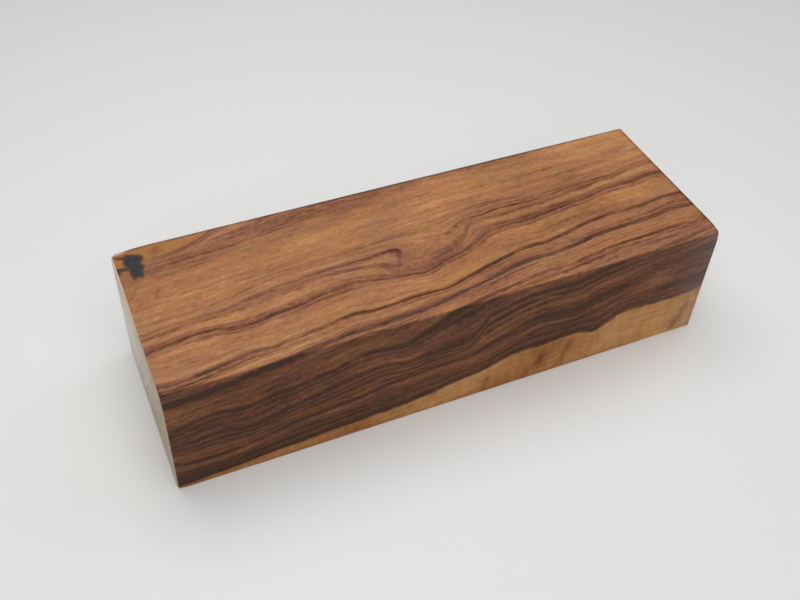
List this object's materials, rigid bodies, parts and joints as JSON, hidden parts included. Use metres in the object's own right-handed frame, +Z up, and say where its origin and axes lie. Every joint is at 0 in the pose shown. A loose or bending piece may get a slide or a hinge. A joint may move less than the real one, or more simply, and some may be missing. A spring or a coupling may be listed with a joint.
{
  "type": "ironwood block",
  "caption": "Rectangular blank of desert ironwood with streaked brown heartwood, a pale sapwood wedge, sealed ends and sanded edges, for knife handles or turning.",
  "frame": {"origin": "middle of the long face that the block rests on", "axes": "+X along the grain, +Z up out of the resting face, -Y out of the long face with the sapwood wedge"},
  "size_m": [0.127, 0.0418, 0.0305],
  "materials": {
    "ironwood": "sanded bare wood, satin"
  },
  "bodies": {
    "root": {"ironwood_block": "ironwood"}
  },
  "joints": []
}
